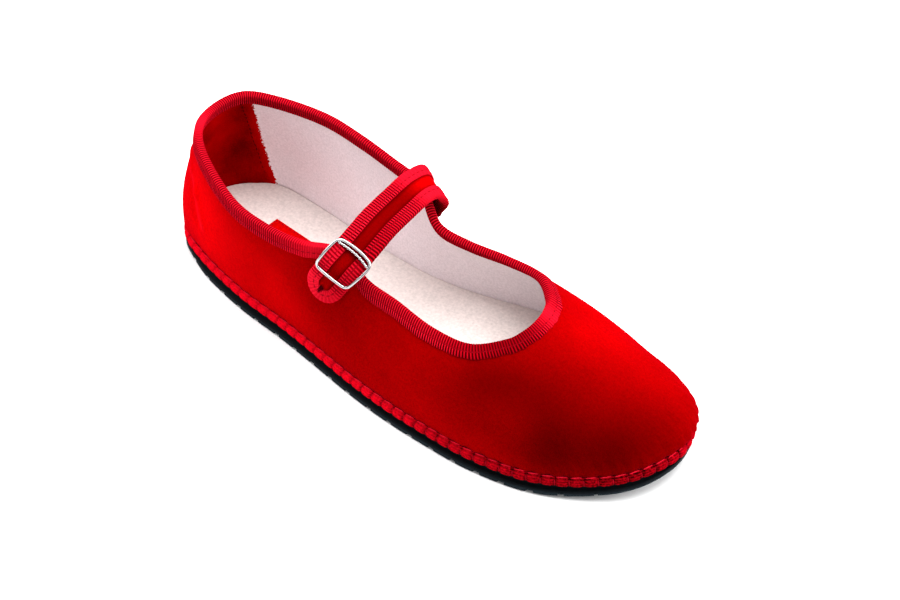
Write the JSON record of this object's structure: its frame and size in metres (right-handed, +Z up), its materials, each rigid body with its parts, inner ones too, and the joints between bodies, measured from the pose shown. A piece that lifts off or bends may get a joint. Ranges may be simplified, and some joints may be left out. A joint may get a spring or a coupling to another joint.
{
  "type": "mary jane shoe",
  "caption": "Flat velvet mary jane shoe with a round open throat, ribbed ribbon binding, a buckled instep strap, a stitched textile midsole and a thin rubber outsole.",
  "frame": {"origin": "on the floor under the middle of the sole's length and breadth", "axes": "+X towards the toe, +Y towards the inner side of the foot, +Z up"},
  "size_m": [0.247, 0.0862, 0.0661],
  "materials": {
    "rubber": "matt moulded rubber",
    "stitched_cloth": "bound and stitched cloth",
    "suede": "brushed, suede-like",
    "velvet": "cotton velvet with a pale lining",
    "ribbon": "ribbed ribbon",
    "strap_velvet": "cotton velvet",
    "strap_ribbon": "ribbed ribbon",
    "nickel": "polished nickel plate",
    "grip_nickel": "polished nickel plate"
  },
  "bodies": {
    "root": {"outsole": "rubber", "midsole": "stitched_cloth", "insole": "suede", "upper": "velvet", "collar_binding": "ribbon", "strap": "strap_velvet", "strap_binding": "strap_ribbon", "buckle_frame": "nickel", "buckle_grip_bar": "grip_nickel"}
  },
  "joints": []
}
